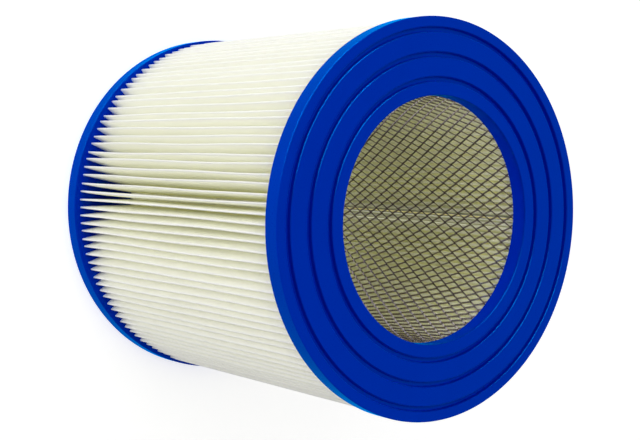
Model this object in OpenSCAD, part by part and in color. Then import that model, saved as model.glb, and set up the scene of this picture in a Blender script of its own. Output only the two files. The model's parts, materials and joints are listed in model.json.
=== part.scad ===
// Pleated filter cartridge for a pool or spa.
// A pleated strip of polyester is closed into a ring round an expanded-metal core,
// and an end cap is cast onto each end of the ring and the core.
// It stands on its rear cap: +Z runs along the axis to the front cap, and the origin
// is the centre of the rear cap's outer face. All sizes are in millimetres.

/* [Overall] */
// Length over both end caps
length = 252; // [160:1:400]
// Outside diameter of both end caps
cap_d = 250; // [230:1:300]

/* [End caps] */
// Diameter of the opening through each cap
bore_d = 154; // [100:1:170]
// Thickness of each cap
cap_h = 11; // [10:0.5:16]
// Depth to which the pleats and the core are cast into each cap
embed = 6.5; // [4:0.5:7.5]
// Radius on the outer edges of each cap
edge_r = 1.2; // [0.5:0.1:2]
// Number of ring grooves in each cap's face
groove_count = 3; // [2:1:4]
// Width of a groove at its mouth
groove_w = 3.4; // [2:0.1:4]
// Width of a groove at its floor
groove_floor_w = 2.8; // [1.5:0.1:3.5]
// Depth of a groove
groove_depth = 3; // [1:0.1:3.4]
// Width of the flat land outside the outermost groove
rim_land = 6.5; // [4:0.5:10]
// Width of the flat land inside the innermost groove
bore_land = 8; // [5:0.5:12]

/* [Pleated media] */
// Number of pleats
pleat_count = 132; // [90:1:150]
// Thickness of the polyester sheet
media_t = 0.5; // [0.4:0.05:0.7]
// Inside radius of each outer fold, which is pressed almost flat
tip_fold_r = 0.1; // [0.05:0.05:0.4]
// Inside radius of each inner fold, which stays open
root_fold_r = 0.6; // [0.2:0.05:0.75]
// Distance by which each cap stands out past the pleat tips
rim_overhang = 3; // [2:0.5:8]
// Thickness of the bead that closes the strip into a ring
seam_t = 1.2; // [0.6:0.1:1.6]
// Depth of the bead in its valley
seam_depth = 12; // [6:1:16]

/* [Core] */
// Cover of cap material between the opening and the core's inside
core_cover = 1; // [0.6:0.1:3]
// Thickness of the expanded metal
core_t = 1.2; // [0.8:0.1:2]
// Width of a strand
strand_w = 2.4; // [1.5:0.1:4]
// Length of a diamond along the axis, fitted to a whole number
diamond_l = 32; // [24:1:40]
// Width of a diamond round the core, fitted to a whole number
diamond_w = 18; // [15:1:24]
// Clearance between the core and the inner folds of the pleats
core_fit = 0.3; // [0.2:0.1:1]
// Clearance round the core's ends in the caps
socket_fit = 0.2; // [0.2:0.05:0.4]

/* [Hidden] */
cap_colour = [0.0, 0.16, 0.62];
media_colour = [0.94, 0.94, 0.88];
bead_colour = [0.90, 0.88, 0.76];
core_colour = [0.42, 0.41, 0.40];

cap_r = cap_d / 2;
bore_r = bore_d / 2;
// The stretch from the rear end of the pleats and the core to their front end
pack_z0 = cap_h - embed;
pack_z1 = length - pack_z0;
core_ri = bore_r + core_cover;
core_ro = core_ri + core_t;
// The pleats reach from their inner folds, just outside the core, to their tips
root_r = core_ro + core_fit;
tip_r = cap_r - rim_overhang;
pleat_step = 360 / pleat_count;
// Centre lines of the outermost and the innermost groove
groove_r1 = cap_r - rim_land - groove_w / 2;
groove_r0 = bore_r + bore_land + groove_w / 2;
groove_pitch = (groove_r1 - groove_r0) / (groove_count - 1);
// How far a cut is carried past the face that it opens
past = 1;

function polar(r, a) = [r * cos(a), r * sin(a)];
function reversed(list) = [for (i = [len(list) - 1 : -1 : 0]) list[i]];

// Folds of the pleated strip.
// Each outer fold turns about a centre at tip_centre_r, each inner fold about one at root_centre_r,
// and a flank is the straight line that touches one outer and one inner fold.
tip_centre_r = tip_r - media_t - tip_fold_r;
root_centre_r = root_r + media_t + root_fold_r;
flank = polar(root_centre_r, pleat_step / 2) - polar(tip_centre_r, 0);
flank_lean = asin((tip_fold_r + root_fold_r + media_t) / norm(flank));
flank_heading = atan2(flank[1], -flank[0]);
// Half of the angle through which the strip turns at an outer and at an inner fold
tip_turn = 90 + flank_lean - flank_heading;
root_turn = 90 + flank_lean - flank_heading - pleat_step / 2;
fold_steps = 2;

function tip_angle(i) = (i + 0.5) * pleat_step;
function root_angle(i) = (i + 1) * pleat_step;
function tip_fold(i, r) = [
    for (k = [0 : fold_steps])
        polar(tip_centre_r, tip_angle(i))
        + polar(r, tip_angle(i) + tip_turn * (2 * k / fold_steps - 1))
];
function root_fold(i, r) = [
    for (k = [0 : fold_steps])
        polar(root_centre_r, root_angle(i))
        + polar(r, root_angle(i) + 180 - root_turn * (2 * k / fold_steps - 1))
];
// One side of the strip from its first edge to its last. The outside of the sheet has the
// large radius at the tips and the small one at the roots, and the inside the other way round.
function strip_side(tip_side_r, root_side_r, edge_y) = [
    [root_r, edge_y],
    [root_r + seam_depth, edge_y],
    for (i = [0 : pleat_count - 1])
        each concat(tip_fold(i, tip_side_r), i < pleat_count - 1 ? root_fold(i, root_side_r) : []),
    [root_r + seam_depth, -edge_y],
    [root_r, -edge_y]
];

module strip_outline()
    polygon(concat(
        strip_side(tip_fold_r + media_t, root_fold_r, seam_t / 2),
        reversed(strip_side(tip_fold_r, root_fold_r + media_t, seam_t / 2 + media_t))
    ));

// Corner left over by a rounded edge, in the corner at the origin of the first quadrant
module edge_waste()
    difference() {
        translate([-past, -past]) square(edge_r + past);
        translate([edge_r, edge_r]) circle(r = edge_r, $fn = 48);
    }

// Half section of a cap: x is the radius, y the height above the outer face
module cap_section()
    difference() {
        translate([bore_r, 0]) square([cap_r - bore_r, cap_h]);
        translate([bore_r, 0]) edge_waste();
        translate([cap_r, 0]) mirror([1, 0]) edge_waste();
        translate([cap_r, cap_h]) rotate(180) edge_waste();
        for (i = [0 : groove_count - 1])
            translate([groove_r0 + i * groove_pitch, 0])
                polygon([
                    [-groove_w / 2, -past], [groove_w / 2, -past], [groove_w / 2, 0],
                    [groove_floor_w / 2, groove_depth], [-groove_floor_w / 2, groove_depth],
                    [-groove_w / 2, 0]
                ]);
    }

// Round socket that the end of the core is cast into
module core_socket(z0, z1)
    translate([0, 0, z0]) difference() {
        cylinder(r = core_ro + socket_fit, h = z1 - z0, $fn = 180);
        translate([0, 0, -past]) cylinder(r = core_ri - socket_fit, h = z1 - z0 + 2 * past, $fn = 180);
    }

module strip() translate([0, 0, pack_z0]) linear_extrude(pack_z1 - pack_z0) strip_outline();

module bead()
    translate([root_r, -seam_t / 2, pack_z0]) cube([seam_depth, seam_t, pack_z1 - pack_z0]);

module cap_blank() rotate_extrude($fn = 180) cap_section();

module rear_end_cap()
    color(cap_colour) difference() {
        cap_blank();
        strip();
        bead();
        core_socket(pack_z0, cap_h + past);
    }

module front_end_cap()
    color(cap_colour) difference() {
        translate([0, 0, length]) mirror([0, 0, 1]) cap_blank();
        strip();
        bead();
        core_socket(length - cap_h - past, pack_z1);
    }

module pleated_media() color(media_colour) strip();

module seam_bead() color(bead_colour) bead();

// Expanded-metal core.
// Its nodes lie in rows half a diamond apart along the axis, and every second row is turned by half
// a diamond. Each diamond has a smaller one cut out of its middle, which leaves the strands.
columns = round(2 * PI * core_ri / diamond_w);
diamonds = round((length - 2 * cap_h) / diamond_l);
rows = 2 * diamonds;
column_step = 360 / columns;
row_step = (length - 2 * cap_h) / rows;
half_w = PI * core_ri / columns;
opening_share = 1 - strand_w / 2 * norm([row_step, half_w]) / (row_step * half_w);

function on_core(r, column, row) =
    [each polar(r, column * column_step), cap_h + row * row_step];
function row_turn(row) = row % 2 / 2;

// Points on the inside or on the outside of the core: the nodes, the corners of the openings,
// the points halfway between the nodes of the two end rows, and the two end rings
function node_points(r) = [
    for (row = [0 : rows], column = [0 : columns - 1])
        on_core(r, column + row_turn(row), row)
];
function opening_points(r) = [
    for (row = [1 : rows - 1], column = [0 : columns - 1], corner = [0 : 3])
        let (out = polar(opening_share, 90 * corner))
            on_core(r, column + row_turn(row + 1) + out[0] / 2, row + out[1])
];
function halfway_points(r) = [
    for (row = [0, rows], column = [0 : columns - 1])
        on_core(r, column + 0.5, row)
];
function ring_points(r) = [
    for (z = [pack_z0, pack_z1], half = [0 : 2 * columns - 1])
        [each polar(r, half * column_step / 2), z]
];
function skin_points(r) =
    concat(node_points(r), opening_points(r), halfway_points(r), ring_points(r));

// Where each of those points stands in the list
opening_start = (rows + 1) * columns;
halfway_start = opening_start + 4 * (rows - 1) * columns;
ring_start = halfway_start + 2 * columns;
skin_size = ring_start + 4 * columns;
function node_at(row, column) = row * columns + (column + columns) % columns;
function opening_at(row, column, corner) =
    opening_start + 4 * ((row - 1) * columns + column) + corner % 4;
function halfway_at(end, column) = halfway_start + end * columns + column;
function ring_at(end, half) = ring_start + end * 2 * columns + half % (2 * columns);

// The four nodes round a diamond: right, top, left and bottom
function diamond_nodes(row, column) =
    let (right = row % 2 == 0 ? column + 1 : column)
        [node_at(row, right), node_at(row + 1, column),
         node_at(row, right - 1), node_at(row - 1, column)];

function quad(a, b, c, d) = [[a, b, c], [a, c, d]];
function web_faces() = [
    for (row = [1 : rows - 1], column = [0 : columns - 1], k = [0 : 3])
        let (n = diamond_nodes(row, column))
            each quad(n[k], n[(k + 1) % 4],
                      opening_at(row, column, k + 1), opening_at(row, column, k))
];
function rear_faces() = [
    for (c = [0 : columns - 1])
        let (a = node_at(0, c), m = halfway_at(0, c), b = node_at(0, c + 1), n = node_at(1, c))
            each concat(
                [[a, m, n], [m, b, n]],
                quad(ring_at(0, 2 * c), ring_at(0, 2 * c + 1), m, a),
                quad(ring_at(0, 2 * c + 1), ring_at(0, 2 * c + 2), b, m)
            )
];
function front_faces() = [
    for (c = [0 : columns - 1])
        let (a = node_at(rows, c), m = halfway_at(1, c), b = node_at(rows, c + 1),
             n = node_at(rows - 1, c))
            each concat(
                [[a, n, m], [m, n, b]],
                quad(a, m, ring_at(1, 2 * c + 1), ring_at(1, 2 * c)),
                quad(m, b, ring_at(1, 2 * c + 2), ring_at(1, 2 * c + 1))
            )
];
function skin_faces() = concat(web_faces(), rear_faces(), front_faces());
// Faces that join the inside to the outside: the walls of the openings and the two end faces
function opening_walls() = [
    for (row = [1 : rows - 1], column = [0 : columns - 1], k = [0 : 3])
        let (p = opening_at(row, column, k), q = opening_at(row, column, k + 1))
            each quad(q + skin_size, p + skin_size, p, q)
];
function end_walls() = [
    for (end = [0, 1], half = [0 : 2 * columns - 1])
        let (p = ring_at(end, half + end), q = ring_at(end, half + 1 - end))
            each quad(p + skin_size, q + skin_size, q, p)
];

module core_mesh()
    color(core_colour) polyhedron(
        points = concat(skin_points(core_ri), skin_points(core_ro)),
        faces = concat(
            skin_faces(),
            [for (f = skin_faces()) [f[2] + skin_size, f[1] + skin_size, f[0] + skin_size]],
            opening_walls(),
            end_walls()
        )
    );

rear_end_cap();
front_end_cap();
pleated_media();
seam_bead();
core_mesh();
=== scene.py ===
# %% [markdown]
# A pleated filter cartridge for a pool or spa. Water goes in through the white pleats, passes
# the metal core and leaves along the axis, and a blue cap cast onto each end seals the ring.
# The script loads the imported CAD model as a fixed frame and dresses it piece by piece: the
# caps, the pleats and the core get finer meshes, and the bead in the seam keeps its CAD shape.

# %% Load the frame
import json
import math

import bmesh
import bpy
import numpy as np
from mathutils import Matrix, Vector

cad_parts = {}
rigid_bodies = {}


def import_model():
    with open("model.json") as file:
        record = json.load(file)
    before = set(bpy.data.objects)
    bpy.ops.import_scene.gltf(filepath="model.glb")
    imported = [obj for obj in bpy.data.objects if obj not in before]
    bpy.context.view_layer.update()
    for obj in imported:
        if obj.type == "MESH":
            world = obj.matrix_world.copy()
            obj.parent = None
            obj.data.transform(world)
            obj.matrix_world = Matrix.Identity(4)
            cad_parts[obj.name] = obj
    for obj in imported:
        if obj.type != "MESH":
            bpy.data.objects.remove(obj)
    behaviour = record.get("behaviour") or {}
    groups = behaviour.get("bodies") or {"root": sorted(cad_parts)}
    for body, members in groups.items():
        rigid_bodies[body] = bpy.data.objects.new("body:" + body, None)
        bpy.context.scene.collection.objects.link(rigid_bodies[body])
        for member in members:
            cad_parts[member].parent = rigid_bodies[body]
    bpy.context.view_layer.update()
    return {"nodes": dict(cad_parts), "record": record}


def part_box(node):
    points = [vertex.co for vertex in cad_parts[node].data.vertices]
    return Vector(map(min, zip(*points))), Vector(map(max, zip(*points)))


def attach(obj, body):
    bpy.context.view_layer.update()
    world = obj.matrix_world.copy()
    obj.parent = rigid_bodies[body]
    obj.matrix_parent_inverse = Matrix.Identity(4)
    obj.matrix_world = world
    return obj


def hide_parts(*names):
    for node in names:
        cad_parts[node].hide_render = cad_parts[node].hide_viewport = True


for leftover in list(bpy.data.objects):
    bpy.data.objects.remove(leftover)
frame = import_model()

# %% [markdown]
# The main sizes come from the frame, so that the looks follow the CAD model. The cartridge
# stands on its rear cap, and its axis is Z. Blender works in metres, so a size in millimetres
# is written as a number times MM.

# %% Read the main sizes
MM = 0.001
mounts = {mount["name"]: mount for mount in frame["record"]["mounts"]}
bore_radius = mounts["front_bore"]["dims"]["r_mm"] * MM
cap_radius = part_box("rear_end_cap")[1][0]
cap_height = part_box("rear_end_cap")[1][2]
total_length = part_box("front_end_cap")[1][2]
pack_low, pack_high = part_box("pleated_media")[0][2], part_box("pleated_media")[1][2]
core_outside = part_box("core_mesh")[1][0]
print(f"cap radius {cap_radius / MM:.1f} mm, cap height {cap_height / MM:.1f} mm")
print(f"bore radius {bore_radius / MM:.1f} mm, length {total_length / MM:.1f} mm")

# %% [markdown]
# A camera can be matched to a photograph by fitting the circles that it shows. The fit gives
# the focal length in pixels, where the front face's centre lies from the camera, and how far
# the axis turns aside and down. The photograph shows the cartridge lying on its side, so the
# camera here is rolled: the frame's +Y is up in the picture, and the axis runs across it.

# %% Place the camera
PHOTO_WIDTH = 640
SENSOR_WIDTH = 36.0
focal_pixels = 1233.95
# Right, down and forward from the camera to the front face's centre, in cap radii
face_centre = np.array([0.5919, 0.0023, 6.0854]) * cap_radius
axis_turn, axis_dip = math.radians(38.326), math.radians(2.930)

axis = np.array([
    math.cos(axis_dip) * math.sin(axis_turn),
    math.sin(axis_dip),
    -math.cos(axis_dip) * math.cos(axis_turn),
])
sideways = np.array([math.cos(axis_turn), 0.0, math.sin(axis_turn)])
# Rows of this matrix are the frame's X, Y and Z, seen from the camera
frame_axes = np.array([sideways, np.cross(axis, sideways), axis])
camera_place = np.array([0, 0, total_length]) - frame_axes @ face_centre
# A Blender camera has Y up and looks along -Z
view_axes = frame_axes @ np.diag([1, -1, -1])

camera = bpy.data.objects.new("camera", bpy.data.cameras.new("camera"))
bpy.context.collection.objects.link(camera)
camera.matrix_world = Matrix.Translation(camera_place) @ Matrix(view_axes.tolist()).to_4x4()
camera.data.sensor_width = SENSOR_WIDTH
camera.data.lens = focal_pixels / PHOTO_WIDTH * SENSOR_WIDTH
camera.data.dof.use_dof = False
bpy.context.scene.camera = camera
print("camera at", np.round(camera_place, 4), "lens", round(camera.data.lens, 2))

# %% [markdown]
# Four small helpers serve every piece. One adds a node with its settings and links. One turns an
# sRGB hex colour into the linear values that shaders take. One makes a mesh object, and one
# starts an empty material.

# %% Helpers
def add(tree, kind, inputs=None, **settings):
    """Add a node, set its properties, and fill its inputs with values, with other nodes' outputs,
    or with nodes, which stand for their first output."""
    node = tree.nodes.new(kind)
    for name, value in settings.items():
        setattr(node, name, value)
    for key, value in (inputs or {}).items():
        if isinstance(value, bpy.types.Node):
            value = value.outputs[0]
        if isinstance(value, bpy.types.NodeSocket):
            tree.links.new(value, node.inputs[key])
        else:
            node.inputs[key].default_value = value
    return node


def linear(hex_colour):
    """Linear RGBA of an sRGB hex colour."""
    srgb = [int(hex_colour[i:i + 2], 16) / 255 for i in (0, 2, 4)]
    return [c / 12.92 if c <= 0.04045 else ((c + 0.055) / 1.055) ** 2.4 for c in srgb] + [1.0]


def new_piece(name, points, faces=(), edges=()):
    """A mesh object at the origin, with its place in its mesh."""
    mesh = bpy.data.meshes.new(name)
    mesh.from_pydata([tuple(p) for p in points], list(edges), list(faces))
    piece = bpy.data.objects.new(name, mesh)
    bpy.context.collection.objects.link(piece)
    return piece


def new_material(name):
    """An empty node material, its tree and its output node."""
    material = bpy.data.materials.new(name)
    material.use_nodes = True
    material.node_tree.nodes.clear()
    return material, material.node_tree, material.node_tree.nodes.new("ShaderNodeOutputMaterial")


print("helpers ready")

# %% [markdown]
# A Geometry Nodes tree is a recipe with named inputs. The next helper starts such a tree, and
# the one after it runs the tree on a base mesh and keeps the result as a plain mesh, because
# the exported model can hold neither modifiers nor instances.

# %% Helpers for Geometry Nodes
def new_tree(name, sizes):
    """A Geometry Nodes tree with a geometry, a material and float inputs, and its two ends."""
    tree = bpy.data.node_groups.new(name, "GeometryNodeTree")
    tree.interface.new_socket("Geometry", in_out="INPUT", socket_type="NodeSocketGeometry")
    tree.interface.new_socket("Material", in_out="INPUT", socket_type="NodeSocketMaterial")
    for size in sizes:
        tree.interface.new_socket(size, in_out="INPUT", socket_type="NodeSocketFloat")
    tree.interface.new_socket("Geometry", in_out="OUTPUT", socket_type="NodeSocketGeometry")
    return tree, add(tree, "NodeGroupInput").outputs, add(tree, "NodeGroupOutput").inputs


def run_tree(piece, tree, values):
    """Run the tree on the piece and keep what it makes as a plain closed mesh."""
    modifier = piece.modifiers.new(tree.name, "NODES")
    modifier.node_group = tree
    for item in tree.interface.items_tree:
        if item.in_out == "INPUT" and item.name in values:
            modifier[item.identifier] = values[item.name]
    graph = bpy.context.evaluated_depsgraph_get()
    mesh = bpy.data.meshes.new_from_object(
        piece.evaluated_get(graph), preserve_all_data_layers=True, depsgraph=graph
    )
    piece.modifiers.clear()
    piece.data = mesh
    loose = bmesh.new()
    loose.from_mesh(mesh)
    bmesh.ops.recalc_face_normals(loose, faces=loose.faces)
    loose.to_mesh(mesh)
    open_edges = sum(not edge.is_manifold for edge in loose.edges)
    loose.free()
    mesh.calc_loop_triangles()
    print(f"{piece.name}: {len(mesh.loop_triangles)} triangles, {open_edges} open edges")


print("Geometry Nodes helpers ready")

# %% [markdown]
# The caps are cast polyurethane: liquid resin is poured into a ring mould round the ends of the
# pleats and cures to a firm rubber. It shows a deep even blue with a satin skin, a very fine
# grain from the mould, and here and there a tiny raised speck. One Principled shader would
# reflect white, and the photographed cap shines blue, so a blue gloss lies over a matt body.

# %% Cast polyurethane
RESIN_CLOUDS = 28 * MM
# The grain of a real mould is too fine to show, so it is drawn as coarse as this
MOULD_GRAIN, GRAIN_RELIEF = 0.7 * MM, 0.1 * MM
SPECK_SPACING, SPECK_RADIUS, SPECK_RELIEF = 16.0 * MM, 0.45 * MM, 0.3 * MM

blue_rubber, tree, output = new_material("cast_polyurethane_blue")
where = add(tree, "ShaderNodeTexCoord").outputs["Object"]
clouds = add(tree, "ShaderNodeTexNoise", {
    "Vector": where, "Scale": 1 / RESIN_CLOUDS, "Detail": 3.0,
})
tone = add(tree, "ShaderNodeMix", {
    "Factor": clouds.outputs["Fac"], 6: linear("0018A6"), 7: linear("001EAE"),
}, data_type="RGBA")
grain = add(tree, "ShaderNodeTexNoise", {"Vector": where, "Scale": 1 / MOULD_GRAIN, "Detail": 2.0})
cells = add(tree, "ShaderNodeTexVoronoi", {"Vector": where, "Scale": 1 / SPECK_SPACING})
speck = add(tree, "ShaderNodeMapRange", {
    "Value": cells.outputs["Distance"], "From Min": 0.0,
    "From Max": SPECK_RADIUS / SPECK_SPACING, "To Min": 1.0, "To Max": 0.0,
})
skin = add(tree, "ShaderNodeBump", {
    "Strength": 0.10, "Distance": GRAIN_RELIEF, "Height": grain.outputs["Fac"],
})
skin = add(tree, "ShaderNodeBump", {
    "Strength": 0.6, "Distance": SPECK_RELIEF, "Height": speck.outputs["Result"],
    "Normal": skin.outputs["Normal"],
})
dullness = add(tree, "ShaderNodeMapRange", {
    "Value": grain.outputs["Fac"], "To Min": 0.24, "To Max": 0.34,
})
body = add(tree, "ShaderNodeBsdfPrincipled", {
    "Base Color": tone.outputs[2], "Roughness": 0.6, "Normal": skin.outputs["Normal"],
    "Specular IOR Level": 0.0,
})
shine = add(tree, "ShaderNodeBsdfGlossy", {
    "Color": linear("00A4FF"), "Roughness": dullness.outputs["Result"],
    "Normal": skin.outputs["Normal"],
})
share = add(tree, "ShaderNodeFresnel", {"IOR": 1.5, "Normal": skin.outputs["Normal"]})
skin_and_body = add(tree, "ShaderNodeMixShader", {
    "Fac": share.outputs["Fac"], 1: body.outputs["BSDF"], 2: shine.outputs["BSDF"],
})
tree.links.new(skin_and_body.outputs["Shader"], output.inputs["Surface"])
print("material", blue_rubber.name)

# %% [markdown]
# A cap is a ring, so one half section turned round the axis gives all of it. A casting has no
# sharp edge, and its small radii are what catch the light along the rims and the grooves. A Bevel
# modifier would round all the edges alike, so this helper takes a list of corners, each with its
# own radius.

# %% Round a section's corners
ARC_STEPS = 6
SUPPORT = 0.35 * MM


def rounded_outline(corners):
    """Closed outline with an arc at each corner (x, y, radius), and points close to the arcs
    on the flat sides so that smooth shading stays inside the arcs."""
    outline = []
    for k, (x, y, radius) in enumerate(corners):
        corner = np.array([x, y])
        before = np.array(corners[k - 1][:2]) - corner
        after = np.array(corners[(k + 1) % len(corners)][:2]) - corner
        before, after = before / np.linalg.norm(before), after / np.linalg.norm(after)
        half_angle = math.acos(np.clip(before @ after, -1, 1)) / 2
        cut = radius / math.tan(half_angle)
        inward = (before + after) / np.linalg.norm(before + after)
        middle = corner + inward * radius / math.sin(half_angle)
        first, last = corner + before * cut - middle, corner + after * cut - middle
        start = math.atan2(first[1], first[0])
        sweep = math.atan2(last[1], last[0]) - start
        sweep = (sweep + math.pi) % (2 * math.pi) - math.pi
        outline.append(corner + before * (cut + SUPPORT))
        for step in range(ARC_STEPS + 1):
            angle = start + sweep * step / ARC_STEPS
            outline.append(middle + radius * np.array([math.cos(angle), math.sin(angle)]))
        outline.append(corner + after * (cut + SUPPORT))
    return np.array(outline)


print("arcs of", ARC_STEPS, "steps")

# %% [markdown]
# Three ring grooves run round the cap's face. They are a little narrower at the floor than at the
# mouth, so that the cured cap comes out of its mould. The corners start at the opening's edge, go
# along the face and its grooves to the rim, and come back along the side that holds the pleats.

# %% Draw the cap's section
RIM_EDGE, CORE_EDGE, GROOVE_EDGE = 0.5 * MM, 0.4 * MM, 0.6 * MM
GROOVE_RADII = (86.7 * MM, 101.75 * MM, 116.8 * MM)
GROOVE_MOUTH, GROOVE_FLOOR, GROOVE_DEPTH = 3.4 * MM, 2.8 * MM, 3.0 * MM

corners = [(bore_radius, 0, RIM_EDGE)]
for radius in GROOVE_RADII:
    corners += [
        (radius - GROOVE_MOUTH / 2, 0, GROOVE_EDGE),
        (radius - GROOVE_FLOOR / 2, GROOVE_DEPTH, GROOVE_EDGE),
        (radius + GROOVE_FLOOR / 2, GROOVE_DEPTH, GROOVE_EDGE),
        (radius + GROOVE_MOUTH / 2, 0, GROOVE_EDGE),
    ]
corners += [
    (cap_radius, 0, RIM_EDGE),
    (cap_radius, cap_height, RIM_EDGE),
    (bore_radius, cap_height, CORE_EDGE),
]
cap_section = rounded_outline(corners)
print("section points", len(cap_section))

# %% [markdown]
# The tree below sweeps the section round a circle. A casting is never quite true, so the tree
# also moves the surface by a few hundredths of a millimetre with slow noise, which makes the
# long highlights waver a little as they do on the real cap.

# %% Turn the section into a cap
CAP_SEGMENTS = 360
WAVE_LENGTH, WAVINESS = 22 * MM, 0.05 * MM

sweep_tree, given, result = new_tree("cap_casting", ["Radius", "Waviness"])
rail = add(sweep_tree, "GeometryNodeCurvePrimitiveCircle", {
    "Resolution": CAP_SEGMENTS, "Radius": given["Radius"],
})
section = add(sweep_tree, "GeometryNodeMeshToCurve", {"Mesh": given["Geometry"]})
ring = add(sweep_tree, "GeometryNodeCurveToMesh", {
    "Curve": rail.outputs["Curve"], "Profile Curve": section.outputs["Curve"],
})
wave = add(sweep_tree, "ShaderNodeTexNoise", {"Scale": 1 / WAVE_LENGTH, "Detail": 1.0})
centred = add(sweep_tree, "ShaderNodeVectorMath", {
    0: wave.outputs["Color"], 1: (0.5, 0.5, 0.5),
}, operation="SUBTRACT")
offset = add(sweep_tree, "ShaderNodeVectorMath", {
    0: centred.outputs["Vector"], "Scale": given["Waviness"],
}, operation="SCALE")
moved = add(sweep_tree, "GeometryNodeSetPosition", {
    "Geometry": ring.outputs["Mesh"], "Offset": offset.outputs["Vector"],
})
smooth = add(sweep_tree, "GeometryNodeSetShadeSmooth", {"Geometry": moved.outputs["Geometry"]})
real = add(sweep_tree, "GeometryNodeRealizeInstances", {"Geometry": smooth.outputs["Geometry"]})
painted = add(sweep_tree, "GeometryNodeSetMaterial", {
    "Geometry": real.outputs["Geometry"], "Material": given["Material"],
})
sweep_tree.links.new(painted.outputs["Geometry"], result["Geometry"])

caps = []
for node, base_z, way in (("rear_end_cap", 0.0, 1), ("front_end_cap", total_length, -1)):
    heights = base_z + way * cap_section[:, 1]
    # The sweep takes the section's X as the distance from the rail and its -Y as the height
    points = np.column_stack([cap_section[:, 0] - cap_radius, -heights, np.zeros(len(heights))])
    count = len(points)
    cap = new_piece(node + "_casting", points, edges=[(k, (k + 1) % count) for k in range(count)])
    run_tree(cap, sweep_tree, {
        "Material": blue_rubber, "Radius": cap_radius, "Waviness": WAVINESS,
    })
    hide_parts(node)
    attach(cap, "root")
    caps.append(cap)

# %% [markdown]
# The filter sheet is spunbond polyester: endless fibres laid at random and bonded by heat. It is
# a matt, slightly cloudy white that lets some light through, so a valley glows a little and light
# that has crossed several layers turns yellowish. A mix of a Principled and a Translucent shader
# gives both, and a fibre noise gives the mat its fine tooth.

# %% Spunbond polyester
SHEET_CLOUDS = 7.0 * MM
# Real fibres are far too fine to show, so the tooth is drawn as coarse as this
SHEET_TOOTH, TOOTH_RELIEF = 0.9 * MM, 0.15 * MM
# Shares from root to tip: where the painted valley tint ends, and where the crease starts and is
# full
PAINTED_TINT_END, CREASE_START, CREASE_FULL = 0.35, 0.93, 0.985
FLANK_CLEARNESS, CREASE_CLEARNESS = 0.62, 0.12

polyester, tree, output = new_material("spunbond_polyester_white")
where = add(tree, "ShaderNodeTexCoord").outputs["Object"]
clouds = add(tree, "ShaderNodeTexNoise", {
    "Vector": where, "Scale": 1 / SHEET_CLOUDS, "Detail": 4.0,
})
# Painted shade: creamier towards the roots, standing in for the yellow of light deep in the valleys
reach = add(tree, "ShaderNodeAttribute", attribute_name="reach")
painted_tint_fade = add(tree, "ShaderNodeMapRange", {"Value": reach.outputs["Fac"], "From Max": PAINTED_TINT_END})
painted_valley_tint = add(tree, "ShaderNodeMix", {
    "Factor": painted_tint_fade.outputs["Result"], 6: linear("FFFFF1"), 7: linear("FFFFFD"),
}, data_type="RGBA")
tone = add(tree, "ShaderNodeMix", {
    "Factor": clouds.outputs["Fac"], 6: painted_valley_tint.outputs[2], 7: linear("FFFFFE"),
}, data_type="RGBA")
fibres = add(tree, "ShaderNodeTexNoise", {
    "Vector": where, "Scale": 1 / SHEET_TOOTH, "Detail": 3.0,
})
tooth = add(tree, "ShaderNodeBump", {
    "Strength": 0.25, "Distance": TOOTH_RELIEF, "Height": fibres.outputs["Fac"],
})
front = add(tree, "ShaderNodeBsdfPrincipled", {
    "Base Color": tone.outputs[2], "Roughness": 0.9, "Normal": tooth.outputs["Normal"],
    "Specular IOR Level": 0.0,
})
# The fold at a tip is pressed hard, which makes it denser and whiter than the flanks
crease = add(tree, "ShaderNodeMapRange", {
    "Value": reach.outputs["Fac"], "From Min": CREASE_START, "From Max": CREASE_FULL,
    "To Min": FLANK_CLEARNESS, "To Max": CREASE_CLEARNESS,
})
through = add(tree, "ShaderNodeBsdfTranslucent", {"Color": painted_valley_tint.outputs[2]})
sheet = add(tree, "ShaderNodeMixShader", {
    "Fac": crease.outputs["Result"], 1: front.outputs["BSDF"], 2: through.outputs["BSDF"],
})
tree.links.new(sheet.outputs["Shader"], output.inputs["Surface"])
print("material", polyester.name)

# %% [markdown]
# The pleats are one long strip, folded to and fro between the core and the caps' rim. Seen along
# the axis it is a row of hairpins: an arc at each tip, an arc at each root, and straight flanks
# that touch both. So the folds follow a plain rule, and no cloth simulation is needed. How far
# each arc turns comes from the two fold radii and the distance between a tip and a root.

# %% Work out the folds
PLEATS = 132
SHEET = 0.5 * MM
TIP_FOLD, ROOT_FOLD = 0.1 * MM, 0.6 * MM
CORE_CLEARANCE = 0.3 * MM

pitch = 2 * math.pi / PLEATS
# The tips next to the X axis lie half a pitch from it, so the pack's box ends just short of them
tip_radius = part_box("pleated_media")[1][0] / math.cos(pitch / 2)
root_radius = core_outside + CORE_CLEARANCE
tip_centre = tip_radius - SHEET - TIP_FOLD
root_centre = root_radius + SHEET + ROOT_FOLD


def polar(radius, angle):
    return np.array([radius * math.cos(angle), radius * math.sin(angle)])


tip_to_root = polar(root_centre, pitch / 2) - polar(tip_centre, 0)
flank_lean = math.asin((TIP_FOLD + ROOT_FOLD + SHEET) / np.linalg.norm(tip_to_root))
tip_turn = math.pi / 2 + flank_lean - math.atan2(tip_to_root[1], -tip_to_root[0])
root_turn = tip_turn - pitch / 2
print(f"roots at {root_radius / MM:.1f} mm, tips at {tip_radius / MM:.1f} mm")
print(f"half a tip turns {math.degrees(tip_turn):.1f} degrees")

# %% [markdown]
# The strip is drawn as two lines, one for each side of the sheet, so that it has its real
# thickness. It starts and ends in the valley at +X, with a straight end on each side of the bead
# that closes the ring. Each point also notes which tip and which root it belongs to.

# %% Fold the strip
SEAM_BEAD = 1.2 * MM
SEAM_DEPTH = 12 * MM
FLANK_STOPS = (0.02, 0.25, 0.5, 0.75, 0.98)
TIP_STEPS, ROOT_STEPS = 4, 3


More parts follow.
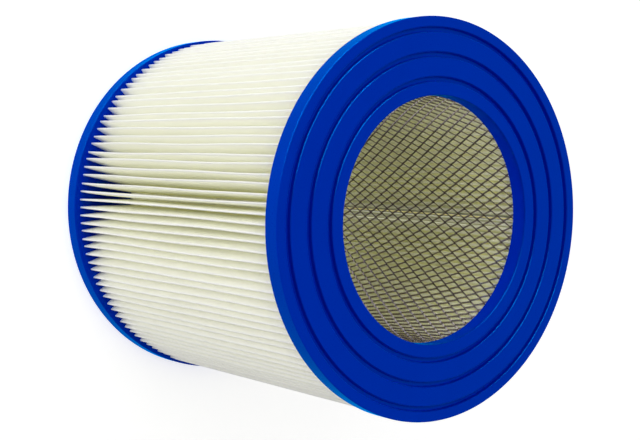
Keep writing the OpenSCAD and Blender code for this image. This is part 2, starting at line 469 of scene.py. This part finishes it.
def fold(centre, heading, turn, steps, outside_radius, inside_radius, number):
    """Both sides of the sheet round one fold, with the numbers of its tip and root."""
    angles = [heading + turn * (2 * k / steps - 1) for k in range(steps + 1)]
    return [
        (centre + polar(outside_radius, angle), centre + polar(inside_radius, angle), number, number)
        for angle in angles
    ]


def flank(start, end, tip, root):
    """Both sides of the straight sheet from one fold to the next, which share a tip and a root."""
    return [
        (start[0] + (end[0] - start[0]) * stop, start[1] + (end[1] - start[1]) * stop, tip, root)
        for stop in FLANK_STOPS
    ]


strip = [
    (np.array([radius, SEAM_BEAD / 2]), np.array([radius, SEAM_BEAD / 2 + SHEET]), 0, -1)
    for radius in (root_radius, root_radius + SEAM_DEPTH)
]
for k in range(PLEATS):
    tip_angle, root_angle = (k + 0.5) * pitch, (k + 1) * pitch
    tip_points = fold(
        polar(tip_centre, tip_angle), tip_angle, tip_turn, TIP_STEPS, TIP_FOLD + SHEET, TIP_FOLD, k
    )
    if k > 0:
        strip += flank(strip[-1], tip_points[0], k, k - 1)
    strip += tip_points
    if k < PLEATS - 1:
        root_points = fold(
            polar(root_centre, root_angle), root_angle + math.pi, -root_turn, ROOT_STEPS,
            ROOT_FOLD, ROOT_FOLD + SHEET, k
        )
        strip += flank(strip[-1], root_points[0], k, k) + root_points
strip += [
    (outside * [1, -1], inside * [1, -1], PLEATS - 1, PLEATS - 1)
    for outside, inside, _, _ in strip[1::-1]
]
middle_line = np.array([(outside + inside) / 2 for outside, inside, _, _ in strip])
strip_width = pack_high - pack_low

# %% [markdown]
# The folded outline is repeated in rows along the axis and closed at its ends. Five numbers go
# with every point for the next steps: its tip and its root, how far it reaches from root to tip,
# how far it lies along the axis, and how free it is, because beside the bead the strip stays as
# drawn.

# %% Raise the strip
ROWS = 16
HELD_PLEATS = 3

heights = np.linspace(pack_low, pack_high, ROWS)
outside = np.array([item[0] for item in strip])
inside = np.array([item[1] for item in strip])
outline = np.concatenate([outside, inside[::-1]])
count = len(outline)
points = np.array([(x, y, z) for z in heights for x, y in outline])
faces = [
    (row * count + k, row * count + (k + 1) % count,
     (row + 1) * count + (k + 1) % count, (row + 1) * count + k)
    for row in range(ROWS - 1) for k in range(count)
]
top = (ROWS - 1) * count
for k in range(len(strip) - 1):
    ends = (k, count - 1 - k, count - 2 - k, k + 1)
    faces += [ends, tuple(top + i for i in reversed(ends))]
media = new_piece("pleated_sheet", points, faces)

radii = np.linalg.norm(middle_line, axis=1)
tips, roots = np.array([item[2] for item in strip]), np.array([item[3] for item in strip])
from_seam = np.minimum(tips, PLEATS - 1 - tips)
point_notes = {
    "reach": (radii - root_radius) / (tip_radius - root_radius),
    "tip": tips,
    "root": roots,
    "free": np.clip(from_seam / HELD_PLEATS, 0, 1),
}
for name, values in point_notes.items():
    both_sides = np.concatenate([values, values[::-1]]).astype(float)
    layer = media.data.attributes.new(name, "FLOAT", "POINT")
    layer.data.foreach_set("value", np.tile(both_sides, ROWS))
layer = media.data.attributes.new("run", "FLOAT", "POINT")
layer.data.foreach_set("value", np.repeat(np.linspace(0, 1, ROWS), count))
print("pleated sheet", len(points), "points")

# %% [markdown]
# Real pleats are not even: some tips stand close and some apart, they wander a little along the
# axis, and the flanks bow. Points moved at random would tear the sheet. So the tree draws random
# numbers for each tip and each root, and a point follows the tip and the root that it belongs to.

# %% Draw random numbers for the pleats
# Added to a tip's or a root's number, these keep the draws apart
TIP_DRAW, HEIGHT_DRAW, ROOT_DRAW, BOW_DRAW = 0.0, 250.0, 500.0, 900.0
# How far apart neighbours lie in the noise, so that they drift by themselves
NEIGHBOUR_STEP = 3.7

wander_tree, given, result = new_tree(
    "pleat_wander", ["Tip spread", "Root spread", "Wander", "Bow", "Height spread", "Oval", "Seed"]
)
note = {}
for name in ("reach", "tip", "root", "free", "run"):
    reader = add(wander_tree, "GeometryNodeInputNamedAttribute", {"Name": name}, data_type="FLOAT")
    note[name] = reader.outputs["Attribute"]


def chance(number, draw):
    """A random number from -1 to 1 that belongs to a tip or a root."""
    seeded = add(wander_tree, "ShaderNodeMath", {0: number, 1: given["Seed"]}, operation="ADD")
    key = add(wander_tree, "ShaderNodeMath", {0: seeded, 1: draw}, operation="ADD")
    noise = add(wander_tree, "ShaderNodeTexWhiteNoise", {"W": key}, noise_dimensions="1D")
    return add(wander_tree, "ShaderNodeMath", {
        0: noise.outputs["Value"], 1: 2.0, 2: -1.0,
    }, operation="MULTIPLY_ADD")


def drift(number, draw, waves):
    """A slow change along the axis, from about -1 to 1, that belongs to a tip or a flank."""
    lane = add(wander_tree, "ShaderNodeMath", {
        0: number, 1: NEIGHBOUR_STEP, 2: draw,
    }, operation="MULTIPLY_ADD")
    along = add(wander_tree, "ShaderNodeMath", {0: note["run"], 1: waves}, operation="MULTIPLY")
    spot = add(wander_tree, "ShaderNodeCombineXYZ", {0: lane, 1: along, 2: given["Seed"]})
    noise = add(wander_tree, "ShaderNodeTexNoise", {"Vector": spot, "Scale": 1.0, "Detail": 0.0})
    return add(wander_tree, "ShaderNodeMath", {
        0: noise.outputs["Fac"], 1: 4.0, 2: -2.0,
    }, operation="MULTIPLY_ADD")


print("random draws for", PLEATS, "pleats")

# %% [markdown]
# First each point turns about the axis. Its turn slides from its root's draw to its tip's, and a
# bow is added that is largest halfway up the flank.

# %% Turn the pleats
TIP_WAVES, BOW_WAVES = 2.2, 1.3

tip_chance = add(wander_tree, "ShaderNodeMath", {
    0: chance(note["tip"], TIP_DRAW), 1: given["Tip spread"],
}, operation="MULTIPLY")
tip_drift = add(wander_tree, "ShaderNodeMath", {
    0: drift(note["tip"], TIP_DRAW, TIP_WAVES), 1: given["Wander"],
}, operation="MULTIPLY")
tip_move = add(wander_tree, "ShaderNodeMath", {0: tip_chance, 1: tip_drift}, operation="ADD")
root_move = add(wander_tree, "ShaderNodeMath", {
    0: chance(note["root"], ROOT_DRAW), 1: given["Root spread"],
}, operation="MULTIPLY")
leaning = add(wander_tree, "ShaderNodeMix", {
    0: note["reach"], 2: root_move, 3: tip_move,
}, clamp_factor=True)

from_tip = add(wander_tree, "ShaderNodeMath", {0: 1.0, 1: note["reach"]}, operation="SUBTRACT")
belly = add(wander_tree, "ShaderNodeMath", {0: note["reach"], 1: from_tip}, operation="MULTIPLY")
bow = add(wander_tree, "ShaderNodeMath", {0: belly, 1: given["Bow"]}, operation="MULTIPLY")
# Two flanks meet at a tip, and this number tells them apart
flank_number = add(wander_tree, "ShaderNodeMath", {
    0: note["tip"], 1: note["root"],
}, operation="ADD")
bowing = add(wander_tree, "ShaderNodeMath", {
    0: bow, 1: drift(flank_number, BOW_DRAW, BOW_WAVES),
}, operation="MULTIPLY")
sway = add(wander_tree, "ShaderNodeMath", {0: leaning, 1: bowing}, operation="ADD")
turn = add(wander_tree, "ShaderNodeMath", {0: sway, 1: note["free"]}, operation="MULTIPLY")

spot = add(wander_tree, "GeometryNodeInputPosition")
turned = add(wander_tree, "ShaderNodeVectorRotate", {
    "Vector": spot, "Angle": turn,
}, rotation_type="Z_AXIS")
print("turn tree", len(wander_tree.nodes), "nodes")

# %% [markdown]
# Then each tip is lifted by a draw of its own, and the lift grows towards the tip's end. The
# photographed pack is also a little oval: its tips reach further out along Y than along X. The
# result replaces the CAD solid.

# %% Lift the pleats
LIFT_POWER = 3.0

height = add(wander_tree, "ShaderNodeMath", {
    0: chance(note["tip"], HEIGHT_DRAW), 1: given["Height spread"],
}, operation="MULTIPLY")
twice_round = add(wander_tree, "ShaderNodeMath", {
    0: note["tip"], 1: 2 * pitch,
}, operation="MULTIPLY")
along_x = add(wander_tree, "ShaderNodeMath", {0: twice_round}, operation="COSINE")
oval = add(wander_tree, "ShaderNodeMath", {0: along_x, 1: given["Oval"]}, operation="MULTIPLY")
rise = add(wander_tree, "ShaderNodeMath", {0: height, 1: oval}, operation="SUBTRACT")
tip_share = add(wander_tree, "ShaderNodeMath", {
    0: note["reach"], 1: LIFT_POWER,
}, operation="POWER")
free_share = add(wander_tree, "ShaderNodeMath", {
    0: tip_share, 1: note["free"],
}, operation="MULTIPLY")
lift = add(wander_tree, "ShaderNodeMath", {0: rise, 1: free_share}, operation="MULTIPLY")

flat = add(wander_tree, "ShaderNodeVectorMath", {
    0: turned.outputs["Vector"], 1: (1, 1, 0),
}, operation="MULTIPLY")
outward = add(wander_tree, "ShaderNodeVectorMath", {0: flat}, operation="NORMALIZE")
raised = add(wander_tree, "ShaderNodeVectorMath", {
    0: outward.outputs["Vector"], "Scale": lift,
}, operation="SCALE")
moved = add(wander_tree, "GeometryNodeSetPosition", {
    "Geometry": given["Geometry"], "Position": turned.outputs["Vector"],
    "Offset": raised.outputs["Vector"],
})
smooth = add(wander_tree, "GeometryNodeSetShadeSmooth", {"Geometry": moved.outputs["Geometry"]})
real = add(wander_tree, "GeometryNodeRealizeInstances", {"Geometry": smooth.outputs["Geometry"]})
painted = add(wander_tree, "GeometryNodeSetMaterial", {
    "Geometry": real.outputs["Geometry"], "Material": given["Material"],
})
wander_tree.links.new(painted.outputs["Geometry"], result["Geometry"])
run_tree(media, wander_tree, {
    "Material": polyester, "Tip spread": 0.08 * pitch, "Root spread": 0.08 * pitch,
    "Wander": 0.10 * pitch, "Bow": 0.5 * pitch, "Height spread": 0.4 * MM, "Oval": 1.2 * MM,
    "Seed": 11.0,
})
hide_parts("pleated_media")
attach(media, "root")

# %% [markdown]
# The core is expanded steel: a thin sheet is slit, stretched until the slits open into diamonds,
# rolled into a tube and galvanised. Zinc in the shade of the bore looks dark, with a glint where
# a strand faces the light. Its spangle, the pattern of zinc crystals, changes both the tone and
# the roughness a little.

# %% Galvanised steel
SPANGLE = 3.0 * MM

zinc, tree, output = new_material("galvanised_steel")
where = add(tree, "ShaderNodeTexCoord").outputs["Object"]
spangle = add(tree, "ShaderNodeTexNoise", {"Vector": where, "Scale": 1 / SPANGLE, "Detail": 2.0})
tone = add(tree, "ShaderNodeMix", {
    "Factor": spangle.outputs["Fac"], 6: linear("7A6F73"), 7: linear("A0969C"),
}, data_type="RGBA")
dullness = add(tree, "ShaderNodeMapRange", {
    "Value": spangle.outputs["Fac"], "To Min": 0.16, "To Max": 0.28,
})
shader = add(tree, "ShaderNodeBsdfPrincipled", {
    "Base Color": tone.outputs[2], "Metallic": 0.9, "Roughness": dullness.outputs["Result"],
})
tree.links.new(shader.outputs["BSDF"], output.inputs["Surface"])
print("material", zinc.name)

# %% [markdown]
# Between two rows of slits runs a strand. Stretching bends it to and fro, so that it meets the
# strand on its left, then the one on its right, in short knuckles, and it turns the flat strand
# partly on edge. Two strands that mirror each other are drawn here, and they make one column.

# %% Draw two strands
DIAMOND_LENGTH = 12.4 * MM
COLUMNS = 71
STRAND_WIDTH, STRAND_THICKNESS = 1.1 * MM, 0.6 * MM
KNUCKLE = 1.0 * MM
STRAND_TILT = math.radians(-38)
CORE_RECESS = 1.0 * MM

core_radius = (bore_radius + CORE_RECESS + core_outside) / 2
column_width = 2 * math.pi * core_radius / COLUMNS
knuckles = math.ceil(strip_width / (DIAMOND_LENGTH / 2))
middle_z = (pack_low + pack_high) / 2
# How far a strand swings to each side, so that two of them lie side by side at a knuckle
swing = column_width / 4 - STRAND_WIDTH * math.cos(STRAND_TILT) / 2
# The strand's corners about its centre line, each as a step round the tube and a step outwards
half_width = np.array([math.cos(STRAND_TILT), math.sin(STRAND_TILT)]) * STRAND_WIDTH / 2
half_depth = np.array([-math.sin(STRAND_TILT), math.cos(STRAND_TILT)]) * STRAND_THICKNESS / 2
strand_section = [
    -half_width - half_depth, half_width - half_depth,
    half_width + half_depth, half_depth - half_width,
]

points, faces = [], []
for strand in (0, 1):
    first = len(points)
    strand_angle = strand * math.pi / COLUMNS
    stations = []
    for k in range(knuckles + 1):
        side = 1 if (k + strand) % 2 == 0 else -1
        z = middle_z + (k - knuckles / 2) * DIAMOND_LENGTH / 2
        stations += [(side, z - KNUCKLE / 2), (side, z + KNUCKLE / 2)]
    stations = [(side, min(max(z, pack_low), pack_high)) for side, z in stations]
    for side, z in stations:
        centre = side * np.array([swing, -STRAND_WIDTH * math.sin(STRAND_TILT) / 2])
        for tangential, radial in (centre + corner for corner in strand_section):
            x, y = core_radius + radial, tangential
            points.append((
                x * math.cos(strand_angle) - y * math.sin(strand_angle) - core_radius,
                x * math.sin(strand_angle) + y * math.cos(strand_angle), z,
            ))
    for k in range(len(stations) - 1):
        low, high = first + 4 * k, first + 4 * (k + 1)
        faces += [
            (low + i, low + (i + 1) % 4, high + (i + 1) % 4, high + i) for i in range(4)
        ]
    last = first + 4 * (len(stations) - 1)
    faces += [tuple(first + i for i in (3, 2, 1, 0)), tuple(last + i for i in range(4))]
core = new_piece("expanded_core", points, faces)
print("two strands", len(points), "points; column", round(column_width / MM, 2), "mm wide")

# %% [markdown]
# The tree sets a copy of that column at each point of a circle and turns it to face outwards. A
# flat net could also be bent into a tube, but copies on a circle close without a seam.

# %% Roll the core
core_tree, given, result = new_tree("expanded_core", ["Radius", "Columns"])
circle = add(core_tree, "GeometryNodeMeshCircle", {
    "Vertices": given["Columns"], "Radius": given["Radius"],
})
number = add(core_tree, "GeometryNodeInputIndex")
angle = add(core_tree, "ShaderNodeMath", {
    0: number.outputs["Index"], 1: 2 * math.pi / COLUMNS,
}, operation="MULTIPLY")
facing = add(core_tree, "ShaderNodeCombineXYZ", {2: angle})
columns = add(core_tree, "GeometryNodeInstanceOnPoints", {
    "Points": circle.outputs["Mesh"], "Instance": given["Geometry"],
    "Rotation": facing.outputs["Vector"],
})
real = add(core_tree, "GeometryNodeRealizeInstances", {"Geometry": columns.outputs["Instances"]})
painted = add(core_tree, "GeometryNodeSetMaterial", {
    "Geometry": real.outputs["Geometry"], "Material": given["Material"],
})
core_tree.links.new(painted.outputs["Geometry"], result["Geometry"])
run_tree(core, core_tree, {"Material": zinc, "Radius": core_radius, "Columns": float(COLUMNS)})
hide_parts("core_mesh")
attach(core, "root")

# %% [markdown]
# The bead that closes the strip is hot-melt adhesive. It lies deep in one valley and keeps its
# CAD shape, so it only needs a finish: a clear, waxy amber with a soft shine. Light from the valley
# outside passes through it and shows in the bore as a thin yellow line.

# %% Hot-melt bead
WAX_CLOUDS = 4 * MM

hot_melt, tree, output = new_material("hot_melt_adhesive_amber")
where = add(tree, "ShaderNodeTexCoord").outputs["Object"]
clouds = add(tree, "ShaderNodeTexNoise", {"Vector": where, "Scale": 1 / WAX_CLOUDS, "Detail": 2.0})
tone = add(tree, "ShaderNodeMix", {
    "Factor": clouds.outputs["Fac"], 6: linear("F8F2BC"), 7: linear("FCF7CC"),
}, data_type="RGBA")
skin = add(tree, "ShaderNodeBsdfPrincipled", {"Base Color": tone.outputs[2], "Roughness": 0.45})
through = add(tree, "ShaderNodeBsdfRefraction", {
    "Color": tone.outputs[2], "Roughness": 0.3, "IOR": 1.1,
})
wax = add(tree, "ShaderNodeMixShader", {
    "Fac": 0.75, 1: skin.outputs["BSDF"], 2: through.outputs["BSDF"],
})
tree.links.new(wax.outputs["Shader"], output.inputs["Surface"])
bead = frame["nodes"]["seam_bead"]
bead.data.materials.clear()
bead.data.materials.append(hot_melt)
print("material", hot_melt.name, "on", bead.name)

# %% [markdown]
# The floor is plain and pale. To the camera, and in reflections, the floor and the world are bright
# enough to read as white, and the object still shades the floor. For the light that they throw on
# the object both are stronger on the +Y side, which is up in the photograph, than on the -Y side.

# %% Floor
FLOOR_HALF = 6.0
# The floor's glow rises from its low to its high level over this distance on each side of Y = 0
FLOOR_FADE = 0.5
FLOOR_LOW, FLOOR_HIGH, FLOOR_SEEN = 0.10, 0.62, 0.65


def when_seen(tree):
    """1 for rays from the camera, a reflection or a clear body, and 0 for other rays."""
    rays = add(tree, "ShaderNodeLightPath").outputs
    seen = rays["Is Camera Ray"]
    for kind in ("Is Glossy Ray", "Is Transmission Ray"):
        seen = add(tree, "ShaderNodeMath", {0: seen, 1: rays[kind]}, operation="MAXIMUM")
    return seen


floor = new_piece("floor", [
    (-FLOOR_HALF, -FLOOR_HALF, 0), (FLOOR_HALF, -FLOOR_HALF, 0),
    (FLOOR_HALF, FLOOR_HALF, 0), (-FLOOR_HALF, FLOOR_HALF, 0),
], [(0, 1, 2, 3)])
white, tree, output = new_material("white_floor")
where = add(tree, "ShaderNodeTexCoord").outputs["Object"]
spread = add(tree, "ShaderNodeSeparateXYZ", {0: where})
bounce = add(tree, "ShaderNodeMapRange", {
    "Value": spread.outputs["Y"], "From Min": -FLOOR_FADE, "From Max": FLOOR_FADE,
    "To Min": FLOOR_LOW, "To Max": FLOOR_HIGH,
})
glow = add(tree, "ShaderNodeMix", {
    0: when_seen(tree), 2: bounce.outputs["Result"], 3: FLOOR_SEEN,
})
shader = add(tree, "ShaderNodeBsdfPrincipled", {
    "Base Color": linear("D0D0D0"), "Roughness": 0.9, "Specular IOR Level": 0.0,
    "Emission Color": (1, 1, 1, 1), "Emission Strength": glow.outputs[0],
})
tree.links.new(shader.outputs["BSDF"], output.inputs["Surface"])
floor.data.materials.append(white)
print("floor", 2 * FLOOR_HALF, "m wide")

# %% [markdown]
# The world stands for the walls of a bright studio. It lights the object softly, because its
# light comes from all sides, and it has one level for that and another for when it is seen.

# %% Backdrop
WORLD_LOW, WORLD_HIGH, WORLD_SEEN = 0.27, 0.80, 1.0

world = bpy.data.worlds.new("studio")
bpy.context.scene.world = world
world.use_nodes = True
tree = world.node_tree
tree.nodes.clear()
direction = add(tree, "ShaderNodeTexCoord").outputs["Generated"]
heading = add(tree, "ShaderNodeSeparateXYZ", {0: direction})
studio = add(tree, "ShaderNodeMapRange", {
    "Value": heading.outputs["Y"], "From Min": -1.0, "To Min": WORLD_LOW, "To Max": WORLD_HIGH,
})
level = add(tree, "ShaderNodeMix", {
    0: when_seen(tree), 2: studio.outputs["Result"], 3: WORLD_SEEN,
})
sky = add(tree, "ShaderNodeBackground", {"Color": (1, 1, 1, 1), "Strength": level.outputs[0]})
add(tree, "ShaderNodeOutputWorld", {"Surface": sky.outputs["Background"]})
print("world", world.name, "ready")

# %% [markdown]
# In the photograph the light comes from the left and a little from above. The key lamp stands
# there, so it lights the tips of the pleats and leaves the valleys in shade, and a fill lamp by the
# camera opens up the shadows. A dim disk in each opening stands for the light that comes in there
# and keeps the bore from going dark. The long strip is a studio light that only shows as a streak
# on the caps' rims, so it throws light on nothing else.

# %% Lamps
DISK = 0.15
# A lamp that looks straight along Z has no side, so the disks stand a hair off the axis
HAIR = 0.0001
BOUNCES = 64


def lamp(name, place, aim, length, width, watts):
    """An elliptical area lamp that looks from its place at its aim."""
    light = bpy.data.lights.new(name, "AREA")
    light.shape = "ELLIPSE"
    light.size, light.size_y = length, width
    light.energy = watts
    light_object = bpy.data.objects.new(name, light)
    bpy.context.collection.objects.link(light_object)
    ahead = (np.array(aim) - np.array(place)) / np.linalg.norm(np.array(aim) - np.array(place))
    side = np.cross(ahead, [0, 0, 1])
    side /= np.linalg.norm(side)
    axes = np.column_stack([side, np.cross(side, ahead), -ahead])
    light_object.matrix_world = Matrix.Translation(place) @ Matrix(axes.tolist()).to_4x4()
    return light_object


middle = (0, 0, total_length / 2)
lamp("key", (-1.25, 0.35, 0.2), middle, length=0.6, width=0.6, watts=3.0)
lamp("fill", (-0.4, 0.5, 1.3), middle, length=0.8, width=0.8, watts=2.5)
lamp("front", (0.0, HAIR, total_length - 0.5 * MM), middle, length=DISK, width=DISK, watts=0.042)
lamp("rear", (0.0, HAIR, 2 * MM), middle, length=DISK, width=DISK, watts=0.035)
glint = lamp("glint", (-0.72, 1.25, 0.58), middle, length=2.4, width=0.35, watts=130)
lit_caps = bpy.data.collections.new("lit_caps")
for cap in caps:
    lit_caps.objects.link(cap)
glint.light_linking.receiver_collection = lit_caps
glint.visible_diffuse = False
glint.visible_transmission = False

scene = bpy.context.scene
scene.view_settings.view_transform = "Standard"
# Light crosses white pleats many times before it leaves a valley, so its paths may be long
scene.cycles.max_bounces = BOUNCES
scene.cycles.diffuse_bounces = BOUNCES
scene.cycles.transmission_bounces = BOUNCES
print("lamps ready")
